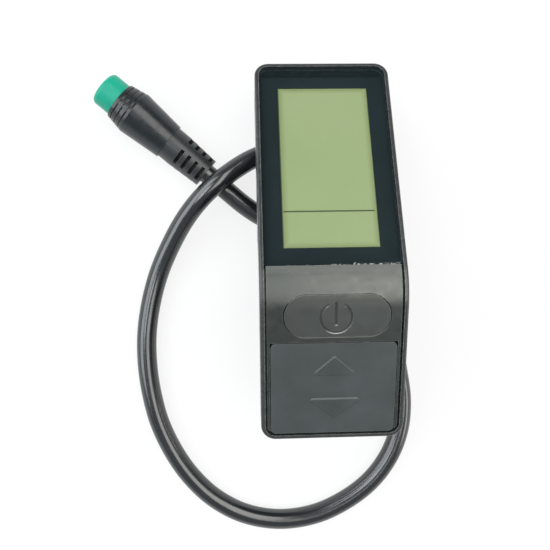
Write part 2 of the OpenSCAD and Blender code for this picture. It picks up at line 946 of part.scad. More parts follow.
module rocker_button() {
  lug_x = rocker_w / 2 - lug_side - lug_t;
  lug_r = pin_r + lug_wall;
  color("#45494b")
    device_pose()
      keypad_frame()
        difference() {
          union() {
            rocker_plate();
            for (side = [0, 1])
              mirror([side, 0, 0])
                translate([lug_x, -rocker_mid, 0]) {
                  translate([0, 0, -pin_at_d])
                    rotate([0, 90, 0])
                      cylinder(r = lug_r, h = lug_t);
                  translate([0, -lug_r, -pin_at_d])
                    cube([lug_t, 2 * lug_r, pin_at_d - key_plate_d + weld]);
                }
            for (side = [-1, 1])
              translate([0, side * switch_pitch / 2 - rocker_mid, 0])
                post(key_plate_d - weld, plunger_top_d - stem_play, stem_r);
          }
          translate([0, -rocker_mid, -pin_at_d])
            rotate([0, 90, 0])
              cylinder(r = pin_r + pin_play, h = body_w, center = true);
        }
}

module rocker_pin() {
  color("silver")
    device_pose()
      keypad_frame()
        translate([0, -rocker_mid, -pin_at_d])
          rotate([0, 90, 0])
            cylinder(r = pin_r, h = inner_w + 2 * pin_end_depth, center = true);
}

// Rubber sheet between the keys and the switches, with holes for stems, lugs and screw bosses
module keypad_seal() {
  lug_x = rocker_w / 2 - lug_side - lug_t - stem_hole_play;
  lug_r = pin_r + lug_wall + stem_hole_play;
  color("#55585a")
    device_pose()
      difference() {
        keypad_slice(seal_d, seal_d + seal_t)
          translate([drop_gap - inner_w / 2, wall_t + drop_gap - keypad_len])
            square([inner_w - 2 * drop_gap, keypad_len - wall_t - drop_gap - board_start]);
        keypad_frame() {
          for (u = [power_u, rocker_mid - switch_pitch / 2, rocker_mid + switch_pitch / 2])
            translate([0, -u, 0])
              post(0, seam_d, stem_r + stem_hole_play);
          for (side = [0, 1])
            mirror([side, 0, 0])
              translate([lug_x, -rocker_mid - lug_r, -seam_d])
                cube([lug_t + 2 * stem_hole_play, 2 * lug_r, seam_d]);
        }
        at_keypad_screws()
          mirror([0, 1, 0])
            corner_notch();
      }
}

// Block on the screen side: footprint from its middle, top at depth d
module block_at(size, at, d) {
  translate([at[0] - size[0] / 2, at[1] - size[1] / 2, -d - size[2]])
    cube(size);
}

module lcd_cell() {
  color("#a3b385")
    device_pose()
      block_at([lcd_w, lcd_len, lcd_t], [0, lcd_start + lcd_len / 2], lcd_d);
}

module light_guide() {
  guide_start = lcd_start + strip_inset + strip_depth + drop_gap;
  guide_len = lcd_start + lcd_len - guide_start;
  color("#eef2ee", 0.6)
    device_pose()
      block_at([lcd_w, guide_len, guide_t], [0, guide_start + guide_len / 2], guide_d);
}

// Moulded frame round the glass and the light guide, open over the contact strip
module lcd_holder() {
  frame_w = lcd_w + 2 * holder_gap;
  frame_len = lcd_len + 2 * holder_gap;
  outer = [frame_w + 2 * holder_wall, frame_len + 2 * holder_wall, board_d - seat_gap - lcd_d];
  mid = [0, lcd_start + lcd_len / 2];
  floor_open = [lcd_w - 2 * holder_wall, frame_len, outer[2]];
  color("#e8e8e2")
    device_pose()
      difference() {
        block_at(outer, mid, lcd_d);
        block_at([frame_w, frame_len, holder_floor_d + overrun], mid, lcd_d - overrun - lcd_d);
        translate([-floor_open[0] / 2, lcd_start - holder_gap, -board_d])
          cube([floor_open[0], lcd_len - holder_wall, board_d]);
        at_screen_screws()
          corner_notch();
      }
}

// Rubber strip that carries the glass's contacts down to the board
module contact_strip() {
  strip_top = lcd_d + lcd_t + seat_gap / 2;
  color("#d8a0a8")
    device_pose()
      block_at([strip_w, strip_depth, board_d - seat_gap / 2 - strip_top],
               [0, lcd_start + strip_inset + strip_depth / 2], strip_top);
}

module main_board() {
  end = screen_len - wall_t - board_end_gap;
  color("#1f6b3a")
    device_pose()
      difference() {
        block_at([main_board_w, end - board_start, board_t], [0, (end + board_start) / 2], board_d);
        at_screen_screws()
          corner_notch();
      }
}

module key_board() {
  end = keypad_len - wall_t - key_board_end_gap;
  color("#1f6b3a")
    device_pose()
      keypad_frame()
        translate([-key_board_w / 2, -end, -key_board_d - board_t])
          cube([key_board_w, end - board_start, board_t]);
}

// Flat flexible cable that joins the two boards under the ridge
module board_link() {
  color("#c98a3a")
    device_pose()
      intersection() {
        across(link_w)
          difference() {
            skin(board_back_d);
            skin(board_back_d + link_t);
          }
        across(body_w)
          translate([ridge_reach, -board_back_d])
            circle(r = ridge_reach + link_overlap);
      }
}

// Places its children at a switch, u from the ridge
module at_switch(u) {
  device_pose()
    keypad_frame()
      translate([0, -u, 0])
        children();
}

module switch_body(u) {
  color("#22262a")
    at_switch(u)
      difference() {
        translate([-switch_w / 2, -switch_w / 2, -key_board_d])
          cube([switch_w, switch_w, switch_h]);
        post(0, switch_top_d + plunger_sunk + key_travel + plunger_play,
             plunger_d / 2 + plunger_play);
      }
}

module plunger(u) {
  color("#c9c5bb")
    at_switch(u)
      post(plunger_top_d, switch_top_d + plunger_sunk, plunger_d / 2);
}

module power_switch() {
  switch_body(power_u);
}

module power_plunger() {
  plunger(power_u);
}

module up_switch() {
  switch_body(rocker_mid - switch_pitch / 2);
}

module up_plunger() {
  plunger(rocker_mid - switch_pitch / 2);
}

module down_switch() {
  switch_body(rocker_mid + switch_pitch / 2);
}

module down_plunger() {
  plunger(rocker_mid + switch_pitch / 2);
}

module controller_chip() {
  color("#17191b")
    device_pose()
      block_at(chip_size, chip_at, board_back_d);
}

module voltage_regulator() {
  color("#1d2022")
    device_pose()
      block_at(regulator_size, regulator_at, board_back_d);
}

module capacitor() {
  color("#b9bcc0")
    device_pose()
      translate([capacitor_at[0], capacitor_at[1], 0])
        post(board_back_d, board_back_d + capacitor_h, capacitor_r);
}

module crystal() {
  color("silver")
    device_pose()
      block_at(crystal_size, crystal_at, board_back_d);
}

// Lamps that shine into the light guide from the board's far end
module backlight_leds() {
  led_v = lcd_start + lcd_len - holder_wall - led_size[1];
  color("#f4f0d0")
    device_pose()
      for (i = [0 : led_n - 1])
        translate([(i - (led_n - 1) / 2) * led_pitch, 0, 0])
          block_at([led_size[0], led_size[1], board_d - holder_floor_d - seat_gap],
                   [0, led_v - led_size[1]], holder_floor_d + seat_gap);
}

function header_x() = hood_x + hood_wall + gland_flange_len + wire_run + wire_bend_r;

module wire_header() {
  color("#ded8c8")
    device_pose()
      block_at(header_size, [header_x(), hood_v], board_back_d);
}

// Cores of the cable, from the strain relief up to the header
module inner_wires() {
  start_x = hood_x + hood_wall + gland_flange_len;
  rise_d = board_back_d + header_size[2];
  color("#8d3030")
    device_pose()
      for (i = [0 : wire_n - 1])
        translate([start_x, hood_v + (i - (wire_n - 1) / 2) * wire_pitch, -hood_axis_d]) {
          rotate([0, 90, 0])
            cylinder(r = wire_r, h = wire_run);
          translate([wire_run, 0, wire_bend_r])
            rotate([90, 0, 0])
              rotate([0, 0, 270])
                rotate_extrude(angle = 90)
                  translate([wire_bend_r, 0])
                    circle(r = wire_r);
          translate([wire_run + wire_bend_r, 0, wire_bend_r])
            cylinder(r = wire_r, h = hood_axis_d - wire_bend_r - rise_d);
        }
}

// Small countersunk-recess screw, head at the top, pointing up from depth head_d
module case_screw(back_d) {
  seat_d = back_d - case_head_h - case_head_cover;
  difference() {
    union() {
      post(case_screw_top_d, seat_d + weld, case_screw_r);
      post(seat_d, seat_d + case_head_h, case_head_r);
    }
    post(seat_d + case_head_h - recess_h, seat_d + overrun, recess_r);
  }
}

module case_screws() {
  color("#8a8f94")
    device_pose() {
      at_screen_screws()
        case_screw(screen_t);
      at_keypad_screws()
        case_screw(keypad_t);
    }
}

// Plan of the clamp's ears, seen along the screws
module ear_plan() {
  difference() {
    translate([-clamp_w / 2, -ear_end])
      square([clamp_w, 2 * ear_end]);
    for (sx = [0, 1])
      for (sy = [0, 1])
        mirror([sx, 0])
          mirror([0, sy])
            translate([clamp_w / 2 - ear_corner_r, ear_end - ear_corner_r])
              difference() {
                square(ear_corner_r + overrun);
                circle(r = ear_corner_r);
              }
  }
}

module clamp_cap() {
  pocket_w = (clamp_w - rib_n * rib_t) / (rib_n - 1);
  color("#2a2d2f")
    device_pose()
      clamp_frame()
        difference() {
          union() {
            intersection() {
              rotate([0, 90, 0])
                cylinder(r = clamp_r, h = clamp_w, center = true);
              translate([-clamp_w, -clamp_r, -2 * clamp_r - split_gap / 2])
                cube([2 * clamp_w, 2 * clamp_r, 2 * clamp_r]);
            }
            translate([0, 0, -ear_h])
              linear_extrude(ear_h - split_gap / 2)
                ear_plan();
          }
          rotate([0, 90, 0])
            cylinder(r = bar_r + liner_t, h = clamp_w + overrun, center = true);
          for (i = [0 : rib_n - 2])
            translate([rib_t - clamp_w / 2 + i * (pocket_w + rib_t), 0, 0])
              cap_pocket(pocket_w);
          for (side = [-1, 1])
            translate([0, side * clamp_screw_at, 0]) {
              translate([0, 0, -ear_h - overrun])
                cylinder(r = clamp_screw_d / 2 + clamp_screw_play, h = ear_h + 2 * overrun);
              translate([0, 0, -ear_h - clamp_r])
                cylinder(r = clamp_head_r + clamp_head_play, h = clamp_r + clamp_head_sunk);
            }
        }
}

// Hollow between two ribs on the outside of the cap
module cap_pocket(width) {
  intersection() {
    rotate([0, 90, 0])
      difference() {
        cylinder(r = clamp_r + overrun, h = width);
        translate([0, 0, -overrun])
          cylinder(r = bar_r + liner_t + cap_web_t, h = width + 2 * overrun);
      }
    translate([-clamp_w, pocket_margin - clamp_r, -2 * clamp_r - ear_h])
      cube([2 * clamp_w, 2 * (clamp_r - pocket_margin), 2 * clamp_r]);
  }
}

module clamp_liner() {
  width = clamp_w - liner_margin;
  color("#1c1c1c")
    device_pose()
      clamp_frame()
        intersection() {
          rotate([0, 90, 0])
            difference() {
              cylinder(r = bar_r + liner_t, h = width, center = true);
              cylinder(r = bar_r, h = width + overrun, center = true);
            }
          translate([-clamp_w, -clamp_r, -clamp_r - split_gap])
            cube([2 * clamp_w, 2 * clamp_r, clamp_r]);
        }
}

module clamp_inserts() {
  color("#c9a24a")
    device_pose()
      at_clamp_screws()
        translate([0, 0, split_gap / 2])
          difference() {
            cylinder(r = insert_r, h = insert_len);
            translate([0, 0, -overrun])
              cylinder(r = clamp_screw_d / 2 + case_screw_play, h = insert_len + 2 * overrun);
          }
}

module clamp_screws() {
  head_z = clamp_head_sunk - ear_h;
  color("#9a9ea2")
    device_pose()
      at_clamp_screws()
        difference() {
          union() {
            translate([0, 0, head_z - clamp_head_h])
              cylinder(r = clamp_head_r, h = clamp_head_h);
            translate([0, 0, head_z - weld])
              cylinder(r = clamp_screw_d / 2, h = weld - head_z + split_gap / 2 + insert_len);
          }
          translate([0, 0, head_z - clamp_head_h - overrun])
            cylinder(r = clamp_socket_r, h = overrun + clamp_socket_h, $fn = 6);
        }
}

// Strain relief, turned about the cable: flange inside the hood, neck, collar and ringed taper
module cable_gland() {
  taper_r = gland_r - plug_step;
  color("#1b1c1d")
    device_pose()
      translate([hood_x, hood_v, -hood_axis_d])
        rotate([0, -90, 0])
          difference() {
            rotate_extrude()
              polygon([[0, -hood_wall - gland_flange_len], [gland_flange_r, -hood_wall - gland_flange_len],
                       [gland_flange_r, -hood_wall], [gland_neck_r, -hood_wall], [gland_neck_r, 0],
                       [gland_r, 0], [gland_r, gland_collar_len], [taper_r, gland_collar_len],
                       [gland_tip_r, gland_len], [0, gland_len]]);
            for (i = [0 : gland_slot_n - 1])
              translate([0, 0, gland_slot_first + i * (gland_len - gland_slot_first) / gland_slot_n])
                ring_cut(gland_tip_r - gland_slot_depth + (gland_slot_n - i) * plug_step / gland_slot_n,
                         gland_slot_w);
          }
}

// Ring-shaped groove down to radius r
module ring_cut(r, width) {
  rotate_extrude()
    translate([r, 0])
      square([overrun, width]);
}

// Frame of the plug: z runs from the cable end of the boot to the tip of the nose
module plug_pose() {
  translate([plug_at[0], plug_at[1], boot_tip_r])
    rotate([0, 0, plug_yaw])
      rotate([0, 90 - plug_pitch, 0])
        children();
}

module plug_boot() {
  root_r = boot_d / 2;
  color("#1d1f20")
    plug_pose()
      difference() {
        rotate_extrude()
          polygon([[0, 0], [boot_tip_r, 0], [root_r, boot_len - boot_neck_len], [root_r, boot_len],
                   [0, boot_len]]);
        for (i = [0 : boot_slot_rows - 1])
          for (k = [0 : boot_slot_n - 1])
            rotate([0, 0, boot_slot_turn + k * 360 / boot_slot_n])
              translate([0, 0, boot_slot_first + i * boot_slot_pitch])
                boot_slot();
      }
}

// Slot part of the way round the boot
module boot_slot() {
  rotate_extrude(angle = boot_slot_arc)
    translate([boot_d / 2 - boot_slot_depth, 0])
      square([boot_slot_depth + overrun, boot_slot_w]);
}

module plug_body() {
  top = boot_len + plug_body_len;
  color("#1d1f20")
    plug_pose()
      difference() {
        rotate_extrude()
          polygon([[0, boot_len], [boot_d / 2 + plug_step, boot_len],
                   [plug_d / 2, top - plug_collar_len], [plug_collar_tip_r, top], [0, top]]);
        translate([0, 0, top - nose_root_len])
          cylinder(r = nose_d / 2 + seat_gap, h = nose_root_len + overrun);
        for (i = [0 : contact_n - 1])
          rotate([0, 0, i * 360 / contact_n])
            translate([nose_d / 2 * contact_ring_share, 0, top + nose_len - contact_sunk - contact_len])
              cylinder(r = contact_r + contact_play, h = contact_len);
        for (i = [0 : plug_ring_n - 1])
          translate([0, 0, top - plug_ring_first - i * plug_ring_pitch - plug_ring_w])
            ring_cut(plug_collar_tip_r - plug_ring_depth
                     + (plug_d / 2 - plug_collar_tip_r) * (plug_ring_first + i * plug_ring_pitch)
                     / plug_collar_len, plug_ring_w);
      }
}

// Coloured nose with a keyway and a ring of contact holes
module plug_nose() {
  top = boot_len + plug_body_len;
  r = nose_d / 2;
  color("#36c39c")
    plug_pose()
      difference() {
        rotate_extrude() {
          translate([0, top - nose_root_len])
            square([r, nose_root_len + nose_len - nose_edge_r]);
          translate([0, top + nose_len - 2 * nose_edge_r])
            square([r - nose_edge_r, 2 * nose_edge_r]);
          translate([r - nose_edge_r, top + nose_len - nose_edge_r])
            circle(r = nose_edge_r);
        }
        translate([r - nose_key_depth, -nose_key_w / 2, top + seat_gap])
          cube([nose_key_depth + overrun, nose_key_w, nose_len + overrun]);
        for (i = [0 : contact_n - 1])
          rotate([0, 0, i * 360 / contact_n])
            translate([r * contact_ring_share, 0, top - nose_root_len - overrun])
              cylinder(r = contact_r + contact_play, h = nose_root_len + nose_len + 2 * overrun);
      }
}

module plug_contacts() {
  top = boot_len + plug_body_len;
  color("#d9b45a")
    plug_pose()
      for (i = [0 : contact_n - 1])
        rotate([0, 0, i * 360 / contact_n])
          translate([nose_d / 2 * contact_ring_share, 0, top + nose_len - contact_sunk - contact_len])
            cylinder(r = contact_r, h = contact_len);
}

// The whole route, from the strain relief's tip to the end of the boot
plug_axis = [cos(plug_pitch) * cos(plug_yaw), cos(plug_pitch) * sin(plug_yaw), sin(plug_pitch)];
plug_start = [plug_at[0], plug_at[1], boot_tip_r];
route = concat([gland_tip, gland_tip + cable_lead], route_points, [plug_start]);

// Direction of the route at point i: square to what it meets at both ends
function route_way(i) =
  i == 0 ? [-1, 0, 0] :
  i == len(route) - 1 ? plug_axis :
  let (way = route[i + 1] - route[i - 1]) way / norm(way);

// Ring of points round the route at point i
function ring_points(i) =
  let (way = route_way(i),
       side = cross([0, 0, 1], way) / norm(cross([0, 0, 1], way)),
       up = cross(way, side))
  [for (k = [0 : cable_sides - 1])
    route[i] + cable_d / 2 * (cos(360 * (k + 0.5) / cable_sides) * side
                              + sin(360 * (k + 0.5) / cable_sides) * up)];

module cable() {
  n = len(route);
  m = cable_sides;
  points = [for (i = [0 : n - 1]) each ring_points(i)];
  start_face = [for (k = [0 : m - 1]) k];
  end_face = [for (k = [0 : m - 1]) (n - 1) * m + m - 1 - k];
  side_faces = [for (i = [0 : n - 2]) for (k = [0 : m - 1])
    [i * m + k, (i + 1) * m + k, (i + 1) * m + (k + 1) % m, i * m + (k + 1) % m]];
  color("#17191a")
    polyhedron(points, concat([start_face, end_face], side_faces));
}

front_frame();
rear_shell();
lens();
lens_film();
keypad_cover();
power_button();
rocker_button();
rocker_pin();
keypad_seal();
lcd_cell();
light_guide();
lcd_holder();
contact_strip();
main_board();
key_board();
board_link();
power_switch();
power_plunger();
up_switch();
up_plunger();
down_switch();
down_plunger();
controller_chip();
voltage_regulator();
capacitor();
crystal();
wire_header();
inner_wires();
backlight_leds();
case_gasket();
case_screws();
clamp_cap();
clamp_liner();
clamp_screws();
clamp_inserts();
cable_gland();
cable();
plug_body();
plug_boot();
plug_nose();
plug_contacts();
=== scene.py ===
"""Looks of the handlebar display.

Lengths in the tables are millimetres, in the row frame or on one of the display's two faces.
"""
import json
from math import atan2, cos, pi, radians, sin, tan

import bmesh
import bpy
from mathutils import Matrix, Vector
from mathutils.bvhtree import BVHTree
from mathutils.interpolate import poly_3d_calc

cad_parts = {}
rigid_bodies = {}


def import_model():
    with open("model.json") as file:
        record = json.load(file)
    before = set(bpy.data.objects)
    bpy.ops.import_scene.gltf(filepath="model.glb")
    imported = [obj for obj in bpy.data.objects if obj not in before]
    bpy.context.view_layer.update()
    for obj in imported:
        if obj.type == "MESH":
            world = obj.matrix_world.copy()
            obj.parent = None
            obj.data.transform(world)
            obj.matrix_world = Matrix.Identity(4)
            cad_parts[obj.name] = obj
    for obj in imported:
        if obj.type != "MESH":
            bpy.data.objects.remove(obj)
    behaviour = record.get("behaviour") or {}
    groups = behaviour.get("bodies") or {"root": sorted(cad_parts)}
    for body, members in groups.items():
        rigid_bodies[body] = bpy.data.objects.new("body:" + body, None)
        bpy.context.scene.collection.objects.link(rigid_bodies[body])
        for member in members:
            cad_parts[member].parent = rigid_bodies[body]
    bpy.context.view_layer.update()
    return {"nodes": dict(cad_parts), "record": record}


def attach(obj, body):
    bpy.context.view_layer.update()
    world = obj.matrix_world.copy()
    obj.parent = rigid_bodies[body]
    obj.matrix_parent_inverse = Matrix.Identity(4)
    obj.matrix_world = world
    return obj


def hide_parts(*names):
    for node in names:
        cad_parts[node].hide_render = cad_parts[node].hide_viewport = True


for old in list(bpy.data.objects):
    bpy.data.objects.remove(old)
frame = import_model()
nodes = frame["nodes"]
MM = 0.001

# The two faces of the bent housing: the screen face runs along v from the ridge, the key face along u.
RIDGE = Vector((0, -8.772252, 35.697668))
TILT = radians(21.712586)
FALL = radians(13.287414)
SCREEN_WAY = Vector((0, cos(TILT), -sin(TILT)))
SCREEN_UP = Vector((0, sin(TILT), cos(TILT)))
KEYS_WAY = Vector((0, -cos(FALL), -sin(FALL)))
KEYS_UP = Vector((0, -sin(FALL), cos(FALL)))
X_WAY = Vector((1, 0, 0))


def on_screen(x, v, depth):
    return (RIDGE + X_WAY * x + SCREEN_WAY * v - SCREEN_UP * depth) * MM


def on_keys(x, u, depth):
    return (RIDGE + X_WAY * x + KEYS_WAY * u - KEYS_UP * depth) * MM


def keys_up(x, y, depth):
    """A place on the key face, with y running up the face."""
    return on_keys(x, -y, depth)


# Camera, solved from the photo
cam_data = bpy.data.cameras.new("camera")
cam_data.lens = 42.545
cam_data.sensor_width = 36
cam_data.clip_start = 0.005
camera = bpy.data.objects.new("camera", cam_data)
bpy.context.scene.collection.objects.link(camera)
camera.matrix_world = Matrix((
    (0.9990288836, 0.0175022301, -0.0404346590, -0.0170611876),
    (-0.0159378416, 0.9991240382, 0.0386929126, -0.0009542101),
    (0.0410764520, -0.0380108961, 0.9984327202, 0.1633146655),
    (0, 0, 0, 1)))
bpy.context.scene.camera = camera
bpy.context.scene.view_settings.view_transform = "Standard"

# Cable, on the route of its solid, and the axis of the plug at its end
CABLE_R = 2.4
ROUTE = [
    (-6.5, 22.9557, 4.55), (-10.2, 22.8057, 4.7),
    (-14.8, 21.4, 5.5), (-19.2, 18.9, 6.7), (-23.4, 15.7, 8), (-27.9, 11.7, 7.7),
    (-32.2, 6.6, 6), (-36.1, 0.2, 3.9), (-39.2, -6.6, 2.7), (-41.3, -14, 2.4),
    (-42.4, -21.5, 2.4), (-42.4, -29, 2.4), (-41.5, -36.2, 2.4), (-39.7, -43.4, 2.4),
    (-36.5, -50.6, 2.4), (-32.2, -57.1, 2.4), (-26.4, -62.8, 2.4), (-19, -66.9, 2.4),
    (-10.4, -68.6, 2.4), (-1.6, -67.6, 2.4), (6, -64.4, 2.4), (12.6, -59.6, 2.4),
    (17.4, -53.4, 2.4), (20.1, -46.5, 2.4), (20.8, -39, 2.4), (19.9, -31.5, 2.4),
    (18.5, -23.5, 2.4), (16.9, -15.6, 2.4), (15, -8.2, 2.4), (12.6, -1.8, 2.4),
    (8.6, 2.9, 2.4), (3.4, 5.3, 2.4), (-2.4, 5.6, 2.4), (-8, 5.7, 2.4),
    (-13.1, 7.1, 2.4), (-17.5, 9.9, 2.4), (-21.8, 13.5, 2.6), (-26.95, 17.95, 3.7)]
EXIT_WAY = Vector((-1, 0, 0))
PLUG_YAW = radians(139.5)
PLUG_PITCH = 0.07963
PLUG_WAY = Vector((cos(PLUG_PITCH) * cos(PLUG_YAW), cos(PLUG_PITCH) * sin(PLUG_YAW), sin(PLUG_PITCH)))
PLUG_AT = Vector(ROUTE[-1])


def make_cable():
    curve = bpy.data.curves.new("cable_sheath", "CURVE")
    curve.dimensions = "3D"
    curve.bevel_depth = 1.0
    curve.bevel_resolution = 12
    curve.resolution_u = 10
    curve.twist_mode = "MINIMUM"
    spline = curve.splines.new("BEZIER")
    spline.bezier_points.add(len(ROUTE) - 1)
    points = [Vector(p) for p in ROUTE]
    last = len(points) - 1
    for i, (knot, at) in enumerate(zip(spline.bezier_points, points)):
        if i == 0:
            way = EXIT_WAY
        elif i == last:
            way = PLUG_WAY
        else:
            way = (points[i + 1] - points[i - 1]).normalized()
        before = (at - points[i - 1]).length if i else 1
        after = (points[i + 1] - at).length if i < last else 1
        knot.co = at * MM
        knot.radius = CABLE_R * MM
        knot.handle_left_type = knot.handle_right_type = "FREE"
        knot.handle_left = (at - way * before / 3) * MM
        knot.handle_right = (at + way * after / 3) * MM
    piece = bpy.data.objects.new("cable_sheath", curve)
    bpy.context.scene.collection.objects.link(piece)
    return piece


cable = make_cable()
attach(cable, "housing")
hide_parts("cable")


# Node trees
class Nodes:
    """A node tree under making. A value is a number, a colour, a vector or another node's output."""

    def __init__(self, tree, out_kind):
        self.tree = tree
        tree.nodes.clear()
        self.out = self.add(out_kind)

    def add(self, kind, **values):
        node = self.tree.nodes.new(kind)
        for key, value in values.items():
            setattr(node, key, value)
        return node

    def feed(self, socket, value):
        """Set a socket's own constant, or link an output to it."""
        if isinstance(value, (int, float, Vector)):
            socket.default_value = value
        elif isinstance(value, tuple):
            socket.default_value = (*value, 1)
        else:
            self.tree.links.new(value, socket)

    def math(self, operation, *values):
        node = self.add("ShaderNodeMath", operation=operation)
        for socket, value in zip(node.inputs, values):
            self.feed(socket, value)
        return node.outputs[0]

    def dot(self, a, b):
        node = self.add("ShaderNodeVectorMath", operation="DOT_PRODUCT")
        self.feed(node.inputs[0], a)
        self.feed(node.inputs[1], b)
        return node.outputs["Value"]

    def fit(self, value, low, high, to_low=0.0, to_high=1.0):
        """A value brought from one range to another and held inside it."""
        node = self.add("ShaderNodeMapRange", clamp=True)
        names = ("Value", "From Min", "From Max", "To Min", "To Max")
        for name, setting in zip(names, (value, low, high, to_low, to_high)):
            self.feed(node.inputs[name], setting)
        return node.outputs["Result"]

    def shader(self, kind, **sockets):
        """Output of a shader. In the names of its sockets, _ stands for a space."""
        node = self.add(kind)
        for name, value in sockets.items():
            self.feed(node.inputs[name.replace("_", " ")], value)
        return node.outputs[0]

    def blend(self, share, first, second):
        """Two shaders mixed. A share of 1 gives the second."""
        node = self.add("ShaderNodeMixShader")
        for socket, value in zip(node.inputs, (share, first, second)):
            self.feed(socket, value)
        return node.outputs[0]

    def surface(self, shader):
        self.feed(self.out.inputs["Surface"], shader)


class Recipe(Nodes):
    """A material's nodes, in object coordinates, which are the row frame in metres."""

    def __init__(self, name):
        self.material = bpy.data.materials.new(name)
        self.material.use_nodes = True
        super().__init__(self.material.node_tree, "ShaderNodeOutputMaterial")
        self.place = self.add("ShaderNodeTexCoord").outputs["Object"]

    def noise(self, scale, detail=2.0, rough=0.5):
        node = self.add("ShaderNodeTexNoise")
        settings = {"Scale": scale, "Detail": detail, "Roughness": rough, "Vector": self.place}
        for name, value in settings.items():
            self.feed(node.inputs[name], value)
        return node.outputs["Fac"]

    def swing(self, noise, low=0.0, high=1.0):
        """The usual swing of a noise, brought to a range."""
        return self.fit(noise, 0.3, 0.7, low, high)

    def along(self, way, start):
        """Distance in mm along a direction, from a point of the row frame."""
        return self.math("MULTIPLY_ADD", self.dot(self.place, way), 1 / MM, -way.dot(start))

    def mix(self, share, a, b):
        node = self.add("ShaderNodeMix", data_type="RGBA")
        for index, value in ((0, share), (6, a), (7, b)):
            self.feed(node.inputs[index], value)
        return node.outputs[2]

    def bump(self, height, distance, under=None):
        node = self.add("ShaderNodeBump")
        self.feed(node.inputs["Distance"], distance * MM)
        self.feed(node.inputs["Strength"], 1.0)
        self.feed(node.inputs["Height"], height)
        if under is not None:
            self.feed(node.inputs["Normal"], under)
        return node.outputs["Normal"]

    def edges(self, low, high):
        """1 on convex edges, 0 on flats."""
        bevel = self.add("ShaderNodeBevel", samples=4)
        bevel.inputs["Radius"].default_value = EDGE_TONE_RADIUS * MM
        normal = self.add("ShaderNodeNewGeometry").outputs["Normal"]
        return self.fit(self.dot(bevel.outputs["Normal"], normal), low, high, 1.0, 0.0)

    def solid(self, colour, rough, normal, **more):
        """The finished material of an opaque piece."""
        self.surface(self.shader("ShaderNodeBsdfPrincipled", Base_Color=colour, Roughness=rough,
                                 Normal=normal, **more))
        return self.material


# Materials. Edges are painted paler over a radius, as rubbing on some finishes and as a painted highlight
# on others, in the range of cosines between a normal and its rounded one.
EDGE_TONE_RADIUS = 0.22
EDGE_TONE_REACH = (0.72, 0.97)
ROUGH_SWING = 0.06
# Painted shade: depths below the key face between which a sunk form turns black
RECESS_SHADE_DEPTHS = (0.1, 0.26)
RECESS_SHADE_BLACK = (0.003, 0.004, 0.004)
# Painted shade: a patch is darkest, by a share of a darker tone, inside a part of its radius.
SHADE_PATCH_CORE, SHADE_PATCH_SHARE, SHADE_PATCH_TONE = 0.2, 0.32, 0.35


def shade(colour, factor):
    return tuple(c * factor for c in colour)


def moulded(name, colour, rough, spread=0.18, grain=5200, depth=0.006, edge_wear_and_highlight=None, edge_share=0.5, ior=1.5,
            coat=0.0, cloud=90, painted_highlight=None, level=0.5, reach=EDGE_TONE_REACH, tint=(1.0, 1.0, 1.0), recess_shade=0.0,
            shade_patches=()):
    """Moulded plastic or rubber with clouded colour and fine grain.

    worn is the colour of paler edges: rubbing on some finishes, a painted highlight on others. dusty is a
    painted highlight: the range of normals, counted towards the screen, that are painted paler, with that
    colour and its share. pits is painted shade that darkens what is sunk into the key face, and smudges
    are soft patches of painted shade on that face, each with its x, u and radius.
    """
    r = Recipe(name)
    tone = r.mix(r.swing(r.noise(cloud, 4.0, 0.6)), shade(colour, 1 - spread), shade(colour, 1 + spread))
    roughness = r.swing(r.noise(cloud * 6, 3.0), rough - ROUGH_SWING, rough + ROUGH_SWING)
    # Painted shade: what is sunk into the key face is darkened towards black between two depths.
    if recess_shade:
        sunk = r.math("MULTIPLY", r.along(KEYS_UP, RIDGE), -1.0)
        tone = r.mix(r.fit(sunk, *RECESS_SHADE_DEPTHS, 0.0, recess_shade), tone, RECESS_SHADE_BLACK)
    # Painted shade: soft round patches darken the key face.
    for x, u, radius in shade_patches:
        aside = r.math("SUBTRACT", r.along(X_WAY, RIDGE), x)
        down = r.math("SUBTRACT", r.along(KEYS_WAY, RIDGE), u)
        square = r.math("ADD", r.math("MULTIPLY", aside, aside), r.math("MULTIPLY", down, down))
        share = r.fit(r.math("SQRT", square), radius * SHADE_PATCH_CORE, radius, SHADE_PATCH_SHARE, 0.0)
        tone = r.mix(share, tone, shade(colour, SHADE_PATCH_TONE))
    # Painted highlight: faces turned towards the screen, within a range of normals, are painted paler.
    if painted_highlight:
        low, high, highlight_tone, share = painted_highlight
        facing = r.dot(r.add("ShaderNodeNewGeometry").outputs["Normal"], -KEYS_WAY)
        tone = r.mix(r.fit(facing, low, high, 0.0, share), tone, highlight_tone)
    # Edges painted paler, in patches: rubbing on some finishes, a painted highlight on others.
    if edge_wear_and_highlight:
        patches = r.fit(r.noise(700, 4.0, 0.7), 0.38, 0.66, 0.25, 1.0)
        tone = r.mix(r.math("MULTIPLY", r.math("MULTIPLY", r.edges(*reach), patches), edge_share), tone, edge_wear_and_highlight)
    return r.solid(tone, roughness, r.bump(r.noise(grain, 3.0, 0.6), depth), IOR=ior, Coat_Weight=coat,
                   Specular_IOR_Level=level, Specular_Tint=tint)


def metal(name, colour, rough):
    """Metal with fine turning or brushing marks."""
    r = Recipe(name)
    marks = r.noise(3000, 3.0, 0.6)
    tone = r.mix(r.swing(r.noise(300, 3.0)), shade(colour, 0.88), shade(colour, 1.12))
    return r.solid(tone, r.swing(marks, rough - 0.08, rough + 0.12), r.bump(marks, 0.004), Metallic=1.0)


# The lens's lower edge and the greatest reach of a chip from it, along v; where the chips start and are
# largest, along x; and the cosine to the lens's own normal below which a face counts as a side wall
LENS_FOOT = 5.02
CHIP_REACH = 1.2
CHIP_SPAN = (-9.0, 12.0)
WALL_COS = 0.6


